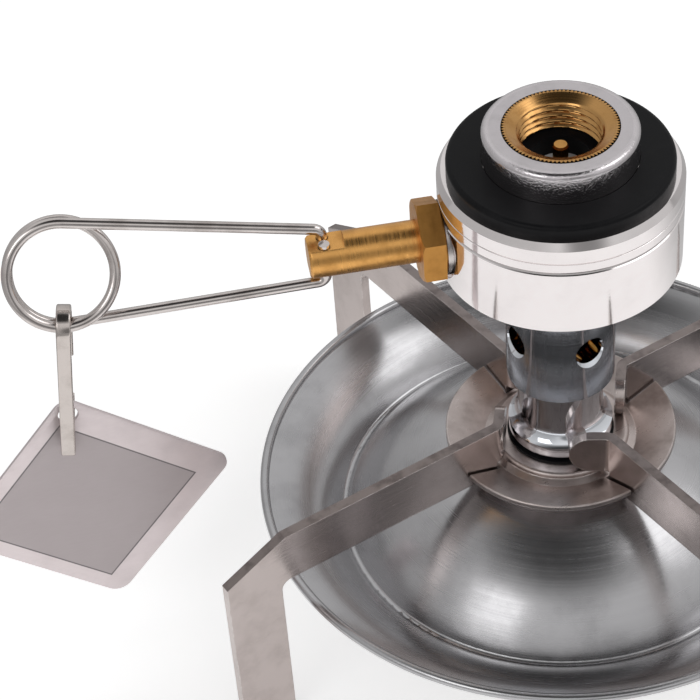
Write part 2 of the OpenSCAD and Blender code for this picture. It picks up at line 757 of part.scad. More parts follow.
valve_body();
inlet_collar();
threaded_insert();
inlet_seal();
pin_carrier();
depressor_pin();
inlet_filter();
sealing_gasket();
gland_nut();
gland_washer();
spindle();
spindle_o_ring();
handle_wire();
tag_link();
tag_plate();
jet();
jet_seal();
mixing_tube();
flange_washer();
support_ring();
pot_arm_1();
pot_arm_2();
pot_arm_3();
pot_arm_4();
burner_pan();
burner_base();
burner_cap();
burner_gauze();
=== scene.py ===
"""Looks of a screw-on gas burner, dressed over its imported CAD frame.

The burner stands on its pot arms with the gas inlet upwards. Lengths in the classes are in millimetres and are
turned into metres where a mesh is made. Z is the axis of the inlet thread and the valve spindle points along -X.
"""

import logging
from collections.abc import Iterator, Sequence
from contextlib import contextmanager
from dataclasses import dataclass
from enum import Enum
from math import acos, asin, atan2, cos, degrees, hypot, pi, radians, sin, sqrt, tan, tau

import bmesh
import bpy
from mathutils import Matrix, Vector


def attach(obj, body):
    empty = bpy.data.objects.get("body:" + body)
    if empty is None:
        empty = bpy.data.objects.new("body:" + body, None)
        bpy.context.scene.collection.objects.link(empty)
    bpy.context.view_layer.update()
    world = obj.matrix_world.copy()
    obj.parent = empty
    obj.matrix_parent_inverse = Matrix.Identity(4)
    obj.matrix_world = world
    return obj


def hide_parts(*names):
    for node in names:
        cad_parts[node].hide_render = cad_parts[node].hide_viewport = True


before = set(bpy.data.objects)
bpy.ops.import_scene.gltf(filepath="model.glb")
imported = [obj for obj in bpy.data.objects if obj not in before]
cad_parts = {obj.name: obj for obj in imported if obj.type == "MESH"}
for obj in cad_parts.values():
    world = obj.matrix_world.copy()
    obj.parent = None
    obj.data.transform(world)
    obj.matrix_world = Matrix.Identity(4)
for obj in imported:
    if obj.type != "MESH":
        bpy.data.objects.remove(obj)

MM = 0.001
SPINDLE_Z = -10.7
FLOOR_Z = -77.5
WIRE_R = 0.725
ARM_TURNS = (23.0, 117.0)

# Parts of a noise pattern's range
NOISE_SPAN = (0.3, 0.7)
STAINED = (0.42, 0.72)
DUSTY = (0.45, 0.8)
RUBBED = (0.35, 0.6)
DENTED = (0.3, 0.55)

# Worn edges: width in millimetres, samples, and the turn of the normal at which wear starts and is full
WEAR_WIDTH = 0.25
WEAR_SAMPLES = 4
WEAR_SPAN = (0.02, 0.2)

# Wander of turned rings in millimetres, and scale of noise along rolled and drawn metal
RING_WANDER = 0.04
ROLLED_SCALE = 0.03
DRAWN_SCALE = 0.05

# Shares of the wire's radius along its domed end, and the least one
DOME = (0.0, 0.4, 0.65, 0.85, 0.97)
DOME_LEAST = 0.05

Colour = tuple[float, float, float]
Place = tuple[float, float, float]
Span = tuple[float, float]
Mesh = bpy.types.Mesh
Material = bpy.types.Material
Finishes = dict[str, Material]
Socket = bpy.types.NodeSocket
Term = Socket | float | Sequence[float]

log = logging.getLogger("burner")


class Body(Enum):
    """The bodies of the frame that a piece can ride on."""

    BURNER = "burner"
    HANDLE = "valve_handle"
    LINK = "link"
    TAG = "tag"


class Marks(Enum):
    """Ways in which a tool leaves its marks on metal."""

    TURNED = "rings about the thread axis"
    TURNED_ROD = "rings about the spindle axis"
    ROLLED = "streaks along the strip"
    DRAWN = "streaks along the wire"
    BLASTED = "grain without direction"


class NodeSheet:
    """A node tree and the steps that are drawn on it."""

    family: str = "ShaderNode"

    def __init__(self, tree: bpy.types.NodeTree) -> None:
        """Starts with an empty tree.

        Args:
            tree: The tree.
        """
        self.tree = tree
        self.tree.nodes.clear()

    def node(self, kind: str, links: dict[str | int, object] | None = None, **settings: object) -> bpy.types.Node:
        """Adds a node and fills its inputs.

        Args:
            kind: Blender's name of the node type, with or without the tree's own family.
            links: Inputs by name or number, each a value or an output socket.
            settings: Properties to set on it.

        Returns:
            The new node.
        """
        made = self.tree.nodes.new(kind if "Node" in kind else self.family + kind)
        for key, value in settings.items():
            setattr(made, key, value)
        for key, term in (links or {}).items():
            self.feed(made.inputs[key], term)
        return made

    def feed(self, plug: Socket, term: object) -> None:
        """Sets an input to a plain value or links it to an output.

        Args:
            plug: The input.
            term: A value or an output socket.
        """
        if isinstance(term, Socket):
            self.tree.links.new(term, plug)
        else:
            plug.default_value = term

    def calc(self, operation: str, *terms: Term) -> Socket:
        """Adds a math node.

        Args:
            operation: Name of the operation.
            terms: Its inputs in order.

        Returns:
            The result.
        """
        return self.node("Math", dict(enumerate(terms)), operation=operation).outputs[0]

    def vector_of(self, operation: str, *terms: Term) -> Socket:
        """Adds a vector math node, as calc does; a product or a length is a number."""
        step = self.node("VectorMath", dict(enumerate(terms)), operation=operation)
        return step.outputs["Value" if operation in ("DOT_PRODUCT", "LENGTH") else "Vector"]

    def parts(self, vector: Socket) -> tuple[Socket, ...]:
        """Splits a vector into its three numbers."""
        return tuple(self.node("SeparateXYZ", {0: vector}).outputs)

    def joined(self, *terms: Term) -> Socket:
        """Makes a vector of up to three numbers."""
        return self.node("CombineXYZ", dict(enumerate(terms))).outputs[0]

    def ranged(self, term: Term, low: float, high: float, start: float = 0.0, end: float = 1.0) -> Socket:
        """Maps a number from one range to another.

        Args:
            term: The number.
            low: Lower end of the range that it comes from.
            high: Upper end of that range.
            start: Result at the lower end.
            end: Result at the upper end.

        Returns:
            The mapped number, kept inside the new range.
        """
        terms = dict(enumerate((term, low, high, start, end)))
        return self.node("MapRange", terms, interpolation_type="SMOOTHSTEP").outputs[0]

    def mixed(self, share: Term, first: Term, second: Term) -> Socket:
        """Mixes two colours.

        Args:
            share: Share of the second, from 0 to 1.
            first: A colour.
            second: Another colour.

        Returns:
            The mixed colour.
        """
        pair = [term if isinstance(term, Socket) else (*term, 1.0) for term in (first, second)]
        return self.node("Mix", {0: share, 6: pair[0], 7: pair[1]}, data_type="RGBA").outputs[2]


class Recipe(NodeSheet):
    """Draws one procedural material, node by node."""

    def __init__(self, name: str) -> None:
        """Starts a material with an empty principled surface.

        Args:
            name: Name of the material.
        """
        self.material = bpy.data.materials.new(name)
        self.material.use_nodes = True
        super().__init__(self.material.node_tree)
        self.surface = self.node("BsdfPrincipled")
        self.end = self.node("OutputMaterial")
        self.feed(self.end.inputs["Surface"], self.surface.outputs["BSDF"])
        self.place: Socket = self.node("TexCoord").outputs["Object"]

    def coat(self, **terms: Term) -> None:
        """Sets inputs of the principled surface.

        Args:
            terms: Values or sockets by name of the input, with _ for each space.
        """
        for name, term in terms.items():
            self.feed(self.surface.inputs[name.replace("_", " ")], term)

    def under(self, name: str) -> Socket:
        """Finds what feeds an input of the principled surface so far."""
        return self.surface.inputs[name].links[0].from_socket

    def paint_over(self, share: Socket, colour: Term) -> None:
        """Lays a colour over the base colour.

        Args:
            share: Where it covers, from 0 to 1.
            colour: The colour.
        """
        self.coat(Base_Color=self.mixed(share, self.under("Base Color"), colour))

    def noise(self, vector: Socket, size: float, detail: float = 3.0, rough: float = 0.5) -> Socket:
        """Adds a noise pattern.

        Args:
            vector: Where it is read, in metres.
            size: Size of its coarsest grain in millimetres.
            detail: Number of finer layers.
            rough: Weight of the finer layers.

        Returns:
            A number of about 0.2 to 0.8.
        """
        return self.node("TexNoise", {
            "Vector": vector, "Scale": 1.0 / (size * MM), "Detail": detail, "Roughness": rough}).outputs["Fac"]

    def relief(self, height: Socket, depth: float, below: Socket | None = None) -> Socket:
        """Adds surface relief.

        Args:
            height: Pattern of the relief.
            depth: Its depth in millimetres.
            below: Relief that it lies on.

        Returns:
            The normal.
        """
        links = {"Distance": depth * MM, "Height": height}
        if below is not None:
            links["Normal"] = below
        return self.node("Bump", links).outputs["Normal"]

    def rounded(self) -> tuple[Socket, Socket]:
        """Rounds the edges of a piece for the light that falls on it.

        Returns:
            The rounded normal, and a number that is 0 on faces and rises at edges.
        """
        soft = self.node("Bevel", {"Radius": WEAR_WIDTH * MM}, samples=WEAR_SAMPLES).outputs[0]
        sharp = self.node("NewGeometry").outputs["Normal"]
        return soft, self.calc("SUBTRACT", 1.0, self.vector_of("DOT_PRODUCT", soft, sharp))

    def off_axis(self) -> Socket:
        """Reads the distance from the thread axis, in metres."""
        x, y, _ = self.parts(self.place)
        return self.vector_of("LENGTH", self.joined(x, y))

    def rings(self, rod: bool) -> Socket:
        """Reads the place as distance from an axis and height along it.

        Args:
            rod: True for the spindle's axis, False for the thread's.

        Returns:
            A vector on which noise runs in rings.
        """
        x, y, z = self.parts(self.place)
        if rod:
            x, y, z = y, self.calc("SUBTRACT", z, SPINDLE_Z * MM), x
        far = self.vector_of("LENGTH", self.joined(x, y))
        turn = self.calc("SINE", self.calc("ARCTAN2", y, x))
        return self.joined(far, z, self.calc("MULTIPLY", turn, RING_WANDER * MM))

    def streaks(self, turn: float) -> Socket:
        """Reads the place with one level direction drawn out.

        Args:
            turn: Direction of the streaks about Z, in degrees.

        Returns:
            A vector on which noise runs in streaks.
        """
        turned = self.node("VectorRotate", {"Vector": self.place, "Angle": radians(-turn)}, rotation_type="Z_AXIS")
        return self.vector_of("MULTIPLY", turned.outputs[0], (ROLLED_SCALE, 1.0, 1.0))

    def along_wire(self) -> Socket:
        """Reads the wire's own lengthwise place, stretched so that noise runs in drawn lines."""
        along, around = (self.node("Attribute", attribute_name=name).outputs["Fac"]
                         for name in ("along", "around"))
        turn = self.calc("MULTIPLY", around, tau)
        ring = [self.calc("MULTIPLY", self.calc(way, turn), WIRE_R * MM) for way in ("SINE", "COSINE")]
        return self.joined(*ring, self.calc("MULTIPLY", along, DRAWN_SCALE))


@dataclass(frozen=True)
class Metal:
    """A bare or plated metal with tool marks, stains and worn edges."""

    name: str
    colour: Colour
    stain: Colour
    rough: Span
    marks: Marks
    pitch: float = 0.25
    depth: float = 0.002
    patch: float = 5.0
    pits: float = 0.0
    wear: Colour | None = None
    turn: float = 0.0
    fine_share: float = 0.6
    rub_size: float = 1.5
    pit_size: float = 0.35

    def draw(self) -> Recipe:
        """Draws the finish.

        Returns:
            The recipe with its material.
        """
        recipe = Recipe(self.name)
        where = {Marks.TURNED: lambda: recipe.rings(False),
            Marks.TURNED_ROD: lambda: recipe.rings(True),
            Marks.ROLLED: lambda: recipe.streaks(self.turn),
            Marks.DRAWN: recipe.along_wire,
            Marks.BLASTED: lambda: recipe.place,
        }[self.marks]()
        fine = recipe.noise(where, self.pitch, 3.0, 0.6)
        broad = recipe.noise(recipe.place, self.patch, 5.0, 0.6)
        tone = recipe.mixed(recipe.ranged(broad, *STAINED), self.colour, self.stain)
        rest = recipe.calc("MULTIPLY", broad, 1.0 - self.fine_share)
        grain = recipe.calc("MULTIPLY_ADD", fine, self.fine_share, rest)
        normal = None
        if self.wear:
            normal, edge = recipe.rounded()
            rubbed = recipe.ranged(recipe.noise(recipe.place, self.rub_size, 3.0, 0.7), *RUBBED)
            worn = recipe.calc("MULTIPLY", recipe.ranged(edge, *WEAR_SPAN), rubbed)
            tone = recipe.mixed(worn, tone, self.wear)
        normal = recipe.relief(fine, self.depth, normal)
        if self.pits:
            normal = recipe.relief(recipe.noise(recipe.place, self.pit_size, 4.0, 0.7), self.pits, normal)
        recipe.coat(Metallic=1.0, Base_Color=tone, Roughness=recipe.ranged(grain, *NOISE_SPAN, *self.rough),
                    Normal=normal)
        return recipe

    def make(self) -> Material:
        """Makes the material."""
        return self.draw().material


@dataclass(frozen=True)
class PlatedTube(Metal):
    """Plated metal whose bore was left bare."""

    bare: Colour = (0.40, 0.21, 0.05)
    bore: float = 4.75
    chamber: float = 6.85
    chamber_z: float = -36.5

    def draw(self) -> Recipe:
        """Draws the plating and the bare bore, as Metal.draw does."""
        recipe = super().draw()
        _, _, z = recipe.parts(recipe.place)
        upper = recipe.calc("GREATER_THAN", z, self.chamber_z * MM)
        edge = recipe.calc("MULTIPLY_ADD", upper, (self.chamber - self.bore) * MM, self.bore * MM)
        recipe.paint_over(recipe.calc("LESS_THAN", recipe.off_axis(), edge), self.bare)
        return recipe


@dataclass(frozen=True)
class Knurled(Metal):
    """Metal with painted shade darkening the steep faces in the valleys of a knurl about the thread axis."""

    # Colour of the painted shade on the knurl's steep faces
    painted_shade: Colour = (0.035, 0.018, 0.006)
    valley: float = 7.0
    steep: Span = (0.75, 0.45)

    def draw(self) -> Recipe:
        """Draws the metal and the painted shade in the knurl's valleys, as Metal.draw does."""
        recipe = super().draw()
        _, _, up = recipe.parts(recipe.node("NewGeometry").outputs["True Normal"])
        outside = recipe.calc("GREATER_THAN", recipe.off_axis(), self.valley * MM)
        # Painted shade: the knurl's steep faces outside the valley radius are darkened as if in shadow
        recipe.paint_over(recipe.calc("MULTIPLY", recipe.ranged(up, *self.steep), outside), self.painted_shade)
        return recipe


@dataclass(frozen=True)
class TumbledCollar(Metal):
    """Plated steel, dull on its flat top and dented and shiny round its edge."""

    flat_r: Span = (8.9, 9.35)
    dent_size: float = 0.32
    dents: float = 0.012
    shine: float = 0.16

    def draw(self) -> Recipe:
        """Draws the flat and the dented edge, as Metal.draw does."""
        recipe = super().draw()
        edge = recipe.ranged(recipe.off_axis(), *(r * MM for r in self.flat_r))
        dent = recipe.noise(recipe.place, self.dent_size, 2.0, 0.6)
        marks = recipe.calc("MULTIPLY", recipe.ranged(dent, *DENTED), edge)
        dull = recipe.under("Roughness")
        recipe.coat(Roughness=recipe.calc("MULTIPLY_ADD", edge, recipe.calc("SUBTRACT", self.shine, dull), dull),
                    Normal=recipe.relief(marks, self.dents, recipe.under("Normal")))
        return recipe


@dataclass(frozen=True)
class Soft:
    """Rubber, fibre or another dull material."""

    name: str
    colour: Colour
    dust: Colour
    rough: Span
    grain: float = 0.2
    depth: float = 0.01
    gloss: float = 0.5
    patch: float = 4.0

    def make(self) -> Material:
        """Makes the material."""
        recipe = Recipe(self.name)
        fine = recipe.noise(recipe.place, self.grain, 5.0, 0.65)
        broad = recipe.noise(recipe.place, self.patch, 4.0, 0.6)
        recipe.coat(Base_Color=recipe.mixed(recipe.ranged(broad, *DUSTY), self.colour, self.dust),
                    Specular_IOR_Level=self.gloss, Roughness=recipe.ranged(broad, *NOISE_SPAN, *self.rough),
                    Normal=recipe.relief(fine, self.depth))
        return recipe.material


@dataclass(frozen=True)
class PrintedPlate(Metal):
    """Brushed plate with a plain printed panel inside a border line, placed on the plate's own UV map."""

    side: float = 28.0
    panel: tuple[Span, Span] = ((4.2, 25.6), (2.1, 24.6))
    line: float = 0.22
    blur: float = 0.0015
    ink: Colour = (0.22, 0.20, 0.205)
    ground: Colour = (0.51, 0.455, 0.46)
    ink_metal: float = 0.6

    def inside(self, recipe: Recipe, margin: float) -> Socket:
        """Finds the panel.

        Args:
            recipe: The material that is drawn.
            margin: How far the panel is made smaller on each side, in millimetres.

        Returns:
            1 inside the panel and 0 outside.
        """
        steps = []
        for term, (first, last) in zip(recipe.parts(recipe.node("UVMap", uv_map="plate").outputs["UV"]),
                                       self.panel):
            half = ((last - first) / 2 - margin) / self.side
            off = recipe.calc("ABSOLUTE", recipe.calc("SUBTRACT", term, (first + last) / 2 / self.side))
            steps.append(recipe.ranged(off, half + self.blur, half - self.blur))
        return recipe.calc("MULTIPLY", *steps)

    def draw(self) -> Recipe:
        """Draws the plate with its print, as Metal.draw does."""
        recipe = super().draw()
        outer, inner = self.inside(recipe, 0.0), self.inside(recipe, self.line)
        recipe.paint_over(outer, recipe.mixed(inner, self.ink, self.ground))
        recipe.coat(Metallic=recipe.ranged(outer, 0.0, 1.0, 1.0, self.ink_metal))
        return recipe


# Finish of the hanging plate: colour, stain, roughness, marks, pitch, depth and patch
PLATE = ((0.75, 0.675, 0.68), (0.71, 0.64, 0.645), (0.44, 0.56), Marks.ROLLED, 0.2, 0.003, 6.0)
STEEL = (0.54, 0.475, 0.455)
WORN_STEEL = (0.80, 0.76, 0.74)
FINISHES: tuple[Metal | Soft, ...] = (
    Metal("turned_aluminium", (0.83, 0.785, 0.78), (0.79, 0.745, 0.74), (0.05, 0.12), Marks.TURNED, 0.22, 0.0006, 6.0),
    TumbledCollar("collar_steel", (0.66, 0.625, 0.64), (0.60, 0.57, 0.58), (0.42, 0.52), Marks.BLASTED, 0.25, 0.006,
                  3.0),
    Metal("brass", (0.56, 0.29, 0.085), (0.42, 0.21, 0.06), (0.12, 0.26), Marks.TURNED, 0.20, 0.003, 2.5),
    Knurled("knurled_brass", (0.54, 0.30, 0.11), (0.42, 0.215, 0.07), (0.13, 0.27), Marks.TURNED, 0.20, 0.003, 2.5),
    Metal("rod_brass", (0.80, 0.42, 0.13), (0.60, 0.30, 0.085), (0.24, 0.40), Marks.TURNED_ROD, 0.30, 0.035, 3.0,
          wear=(0.80, 0.50, 0.18)),
    Metal("nut_brass", (0.58, 0.285, 0.075), (0.46, 0.22, 0.055), (0.36, 0.48), Marks.TURNED_ROD, 0.30, 0.008, 3.0),
    PlatedTube("chromed_brass", (0.76, 0.78, 0.82), (0.70, 0.72, 0.76), (0.04, 0.10), Marks.TURNED, 0.5, 0.0005, 6.0),
    Metal("spun_stainless", (0.48, 0.475, 0.485), (0.40, 0.395, 0.405), (0.21, 0.29), Marks.TURNED, 0.30, 0.001, 9.0),
    Metal("pressed_stainless", STEEL, (0.36, 0.305, 0.285), (0.26, 0.38), Marks.ROLLED, 0.25, 0.004, 5.0, 0.003,
          WORN_STEEL, ARM_TURNS[0]),
    *(Metal(f"strip_stainless_{turn:.0f}", STEEL, (0.47, 0.41, 0.39), (0.15, 0.28), Marks.ROLLED, 0.25, 0.004, 5.0,
            0.004, WORN_STEEL, turn) for turn in ARM_TURNS),
    Metal("sheared_edge", (0.29, 0.25, 0.24), (0.19, 0.16, 0.155), (0.34, 0.50), Marks.BLASTED, 0.2, 0.012, 2.0, 0.008),
    Metal("bright_wire", (0.66, 0.61, 0.59), (0.46, 0.415, 0.395), (0.10, 0.22), Marks.DRAWN, 0.12, 0.002, 6.0),
    Metal("nickel_strip", (0.60, 0.545, 0.515), (0.50, 0.45, 0.42), (0.08, 0.20), Marks.BLASTED, 0.4, 0.003, 3.0),
    Metal("tag_steel", *PLATE),
    PrintedPlate("tag_print", *PLATE),
    Metal("washer_steel", (0.60, 0.56, 0.54), (0.40, 0.36, 0.34), (0.20, 0.36), Marks.TURNED_ROD, 0.2, 0.004, 2.0),
    Soft("tinned_disc", (0.84, 0.83, 0.82), (0.70, 0.69, 0.68), (0.30, 0.42), 0.3, 0.002, 0.8),
    Metal("sintered_bronze", (0.42, 0.27, 0.15), (0.28, 0.17, 0.09), (0.5, 0.75), Marks.BLASTED, 0.15, 0.05, 1.0, 0.05),
    Metal("woven_gauze", (0.50, 0.49, 0.48), (0.30, 0.29, 0.28), (0.4, 0.6), Marks.BLASTED, 0.2, 0.05, 1.5, 0.05),
    Soft("black_rubber", (0.006, 0.006, 0.007), (0.011, 0.011, 0.012), (0.32, 0.46), 0.25, 0.010, 0.11),
    Soft("fibre", (0.16, 0.045, 0.03), (0.24, 0.08, 0.05), (0.6, 0.8), 0.15, 0.03),
)


def arc(x: float, y: float, r: float, start: float, stop: float, steps: int) -> list[Span]:
    """Lists points on an arc.

    Args:
        x: Middle of the arc, sideways.
        y: Middle of the arc, upwards.
        r: Its radius.
        start: Angle of its first point in degrees.
        stop: Angle of its last point in degrees.
        steps: Number of short pieces.

    Returns:
        The points.
    """
    angles = [radians(start + (stop - start) * i / steps) for i in range(steps + 1)]
    return [(x + r * cos(a), y + r * sin(a)) for a in angles]


def placed(name: str, data: bpy.types.ID) -> bpy.types.Object:
    """Puts data in the scene as an object.

    Args:
        name: Name of the object.
        data: A mesh, curve, light or camera.

    Returns:
        The object.
    """
    made = bpy.data.objects.new(name, data)
    bpy.context.scene.collection.objects.link(made)
    return made


def plain_mesh(holder: bpy.types.Object) -> Mesh:
    """Turns an object with its modifiers into a plain mesh and takes it out of the scene.

    Args:
        holder: The object.

    Returns:
        A new mesh.
    """
    bpy.context.view_layer.update()
    seen = bpy.context.evaluated_depsgraph_get()
    made = bpy.data.meshes.new_from_object(holder.evaluated_get(seen), preserve_all_data_layers=True, depsgraph=seen)
    bpy.data.objects.remove(holder)
    return made


@contextmanager
def opened(mesh: Mesh, near: float | None = None) -> Iterator[bmesh.types.BMesh]:
    """Opens a mesh for editing and writes it back at the end.

    Args:
        mesh: The mesh.
        near: Distance at which points are joined before the faces are turned outwards; None leaves both.

    Yields:
        Its editable form.
    """
    work = bmesh.new()
    work.from_mesh(mesh)
    if near is not None:
        bmesh.ops.remove_doubles(work, verts=work.verts, dist=near)
        bmesh.ops.recalc_face_normals(work, faces=work.faces)
    yield work
    work.to_mesh(mesh)
    work.free()


def mesh_of(name: str, points: Sequence[Vector], faces: Sequence[Sequence[int]]) -> Mesh:
    """Makes a mesh from points in millimetres.

    Args:
        name: Name of the mesh.
        points: Corner points.
        faces: Point numbers of each face.

    Returns:
        The mesh in metres, with its faces turned outwards.
    """
    made = bpy.data.meshes.new(name)
    made.from_pydata([Vector(p) * MM for p in points], [], faces)
    with opened(made, 1e-7):
        return made


def line_of(name: str, points: Sequence[Vector]) -> Mesh:
    """Makes a mesh of one open line from points in millimetres.

    Args:
        name: Name of the mesh.
        points: Points of the line in order.

    Returns:
        The line in metres.
    """
    made = bpy.data.meshes.new(name)
    made.from_pydata([p * MM for p in points], [(i, i + 1) for i in range(len(points) - 1)], [])
    return made


def shade(mesh: Mesh, angle: float) -> Mesh:
    """Shades a mesh smooth between its sharp edges.

    Args:
        mesh: The mesh.
        angle: Turn in degrees from which an edge is sharp.

    Returns:
        The same mesh.
    """
    mesh.shade_smooth()
    mesh.set_sharp_from_angle(angle=radians(angle))
    return mesh


def softened(node: str, width: float, flat: float = 0.6, sharp: float = 25.0, turn: float = 30.0) -> Mesh:
    """Copies a CAD node's mesh and rounds its edges.

    Args:
        node: Name of the CAD node.
        width: Width of the rounding in millimetres.
        flat: Turn in degrees up to which faces are joined.
        sharp: Turn in degrees from which an edge is shaded sharp.
        turn: Turn in degrees from which an edge is rounded.

    Returns:
        The copy as a plain mesh.
    """
    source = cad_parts[node].data
    made = mesh_of(node, [v.co / MM for v in source.vertices], [list(p.vertices) for p in source.polygons])
    with opened(made) as work:
        bmesh.ops.dissolve_limit(work, angle_limit=radians(flat), verts=work.verts, edges=work.edges)
    holder = placed(node + "_softened", shade(made, sharp))
    step = holder.modifiers.new("edges", "BEVEL")
    step.width, step.segments = width * MM, 2
    step.limit_method, step.angle_limit = "ANGLE", radians(turn)
    step.harden_normals, step.use_clamp_overlap = True, True
    return plain_mesh(holder)


class GeometryPlan(NodeSheet):
    """A Geometry Nodes tree with named sizes, run once on a base mesh."""

    family: str = "GeometryNode"

    def __init__(self, name: str) -> None:
        """Starts a tree with a geometry input and output.

        Args:
            name: Name of the tree.
        """
        super().__init__(bpy.data.node_groups.new(name, "GeometryNodeTree"))
        self.keys: dict[str, str] = {}
        for label, way in (("Base", "INPUT"), ("Result", "OUTPUT")):
            self.tree.interface.new_socket(name=label, in_out=way, socket_type="NodeSocketGeometry")
        self.start, self.end = self.node("NodeGroupInput"), self.node("NodeGroupOutput")

    def size(self, name: str, kind: str = "Float") -> Socket:
        """Adds a named input.

        Args:
            name: Name of the input.
            kind: Type of its socket.

        Returns:
            The socket inside the tree.
        """
        made = self.tree.interface.new_socket(name=name, in_out="INPUT", socket_type="NodeSocket" + kind)
        self.keys[name] = made.identifier
        return self.start.outputs[name]

    def swept(self, curve: bpy.types.Node, profile: bpy.types.Node) -> Socket:
        """Sweeps a closed profile along a curve."""
        return self.node("CurveToMesh", {
            "Curve": curve.outputs[0], "Profile Curve": profile.outputs[0], "Fill Caps": True}).outputs[0]

    def run(self, base: Mesh, geometry: Socket, finish: Material, **values: object) -> Mesh:
        """Ends the tree with real geometry in one material, and runs it.

        Args:
            base: Mesh that goes in.
            geometry: What the tree has made.
            finish: The material.
            values: The named inputs.

        Returns:
            A plain mesh.
        """
        real = self.node("RealizeInstances", {"Geometry": geometry})
        painted = self.node("SetMaterial", {"Geometry": real.outputs[0], "Material": self.size("Material", "Material")})
        self.feed(self.end.inputs["Result"], painted.outputs[0])
        holder = placed(self.tree.name, base)
        step = holder.modifiers.new(self.tree.name, "NODES")
        step.node_group = self.tree
        for name, value in (*values.items(), ("Material", finish)):
            step[self.keys[name]] = value
        return plain_mesh(holder)


def set_piece(name: str, mesh: Mesh, body: Body, nodes: Sequence[str], slot: str, *finishes: Material) -> None:
    """Puts a finished mesh in the scene in place of CAD nodes.

    Args:
        name: Name of the piece.
        mesh: Its mesh.
        body: The body that it rides on.
        nodes: The CAD nodes that it stands for.
        slot: The record's material slot; it is not used.
        finishes: Its materials.
    """
    if list(mesh.materials) != list(finishes):
        while mesh.materials:
            mesh.materials.pop()
        for finish in finishes:
            mesh.materials.append(finish)
    piece = placed(name, mesh)
    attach(piece, body.value)
    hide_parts(*nodes)
    log.info("%s: %d faces on %s", name, len(mesh.polygons), body.value)


def dress(finishes: Finishes, **coats: str) -> None:
    """Gives CAD nodes that stay their finishes.

    Args:
        finishes: The materials by name.
        coats: Name of the finish for each node.
    """
    for node, name in coats.items():
        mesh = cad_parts[node].data
        mesh.materials.clear()
        mesh.materials.append(finishes[name])
        log.info("%s: CAD shape in %s", node, name)


@dataclass
class GasInlet:
    """Knurled brass insert with the cartridge thread, its collar, the gasket and the pin."""

    outer_r: float = 7.05
    rim_z: float = 4.5
    rim_bevel: float = 0.12
    lead_r: float = 5.55
    lead_z: float = 3.8
    lead_run: float = 0.45
    lead_lip: Span = (0.25, 0.12)
    crest_r: float = 5.15
    crest_share: float = 0.1
    thread_depth: float = 0.46
    pitch: float = 0.907
    thread_z: float = 0.1
    thread_start: float = 0.02
    thread_rows: int = 64
    relief_r: float = 6.0
    foot_z: float = -4.0
    teeth: int = 88
    tooth: float = 0.4
    tooth_drop: float = 0.06
    turns: int = 176

    def bore_r(self, z: float, turn: float) -> float:
        """Radius of the threaded bore.

        Args:
            z: Height.
            turn: Direction as a share of a whole turn.

        Returns:
            The radius in millimetres.
        """
        phase = (z / self.pitch - turn) % 1.0
        flank = (abs(2.0 * phase - 1.0) - self.crest_share) / (1.0 - 2.0 * self.crest_share)
        thread = self.crest_r + self.thread_depth * (1.0 - min(max(flank, 0.0), 1.0))
        rise = (z - self.lead_z + self.lead_run) / self.lead_run
        return max(thread, min(self.crest_r + rise * (self.lead_r - self.crest_r), self.lead_r))

    def insert(self) -> Mesh:
        """Turns the insert with its helical thread.

        Returns:
            The insert without its knurl.
        """
        lip_r, lip_z = self.lead_lip
        fixed = [(self.relief_r, self.foot_z), (self.outer_r, self.foot_z),
                 (self.outer_r, self.rim_z - self.rim_bevel), (self.outer_r - self.rim_bevel, self.rim_z),
                 (self.lead_r + lip_r, self.lead_z + lip_z), (self.lead_r, self.lead_z)]
        top, count = self.lead_z - self.thread_start, self.thread_rows
        heights = [top - (top - self.thread_z) * i / count for i in range(count + 1)]
        rows = len(fixed) + len(heights) + 1
        points, faces = [], []
        for k in range(self.turns):
            a = tau * k / self.turns
            radii = [*fixed, *((self.bore_r(z, k / self.turns), z) for z in heights), (self.relief_r, self.thread_z)]
            points += [Vector((r * cos(a), r * sin(a), z)) for r, z in radii]
            here, there = k * rows, (k + 1) % self.turns * rows
            faces += [(here + i, there + i, there + (i + 1) % rows, here + (i + 1) % rows) for i in range(rows)]
        return shade(mesh_of("insert", points, faces), 40.0)

    def knurled(self, finish: Material) -> Mesh:
        """Turns the insert and sets the knurl's teeth round it.

        Args:
            finish: Its material.

        Returns:
            The insert with its teeth.
        """
        plan = GeometryPlan("knurl")
        ring = plan.node("MeshCircle", {"Vertices": plan.size("Teeth", "Int"), "Radius": plan.size("Radius")})
        prism = plan.node("MeshCylinder", {"Vertices": 3, "Radius": plan.size("Tooth"), "Depth": plan.size("Height")})
        place = plan.node("InputPosition")
        faced = plan.node("FunctionNodeAlignRotationToVector", {"Vector": place.outputs[0]}, axis="X", pivot_axis="Z")
        set_out = plan.node("InstanceOnPoints", {
            "Points": ring.outputs["Mesh"], "Instance": prism.outputs["Mesh"], "Rotation": faced.outputs[0]})
        raised = plan.node("Transform", {"Geometry": set_out.outputs[0], "Translation": plan.size("Middle", "Vector")})
        both = plan.node("JoinGeometry")
        for geometry in (plan.start.outputs["Base"], raised.outputs[0]):
            plan.feed(both.inputs[0], geometry)
        return plan.run(self.insert(), both.outputs[0], finish, Teeth=self.teeth, Radius=self.outer_r * MM,
                        Tooth=self.tooth * MM, Height=(self.rim_z - self.foot_z - self.tooth_drop) * MM,
                        Middle=(0.0, 0.0, (self.rim_z + self.foot_z) / 2 * MM))

    def build(self, finishes: Finishes) -> None:
        """Builds and dresses the inlet."""
        finish = finishes["knurled_brass"]
        set_piece("knurled_insert", self.knurled(finish), Body.BURNER, ["threaded_insert"], "brass", finish)
        dress(finishes, inlet_collar="collar_steel", sealing_gasket="black_rubber", inlet_seal="black_rubber",
              depressor_pin="brass", pin_carrier="tinned_disc", inlet_filter="sintered_bronze")


@dataclass
class ValveHousing:
    """Turned housing with the gland and the jet."""

    def build(self, finishes: Finishes) -> None:
        """Dresses the housing."""
        dress(finishes, valve_body="turned_aluminium", gland_nut="nut_brass", gland_washer="washer_steel",
              jet="brass", jet_seal="fibre")


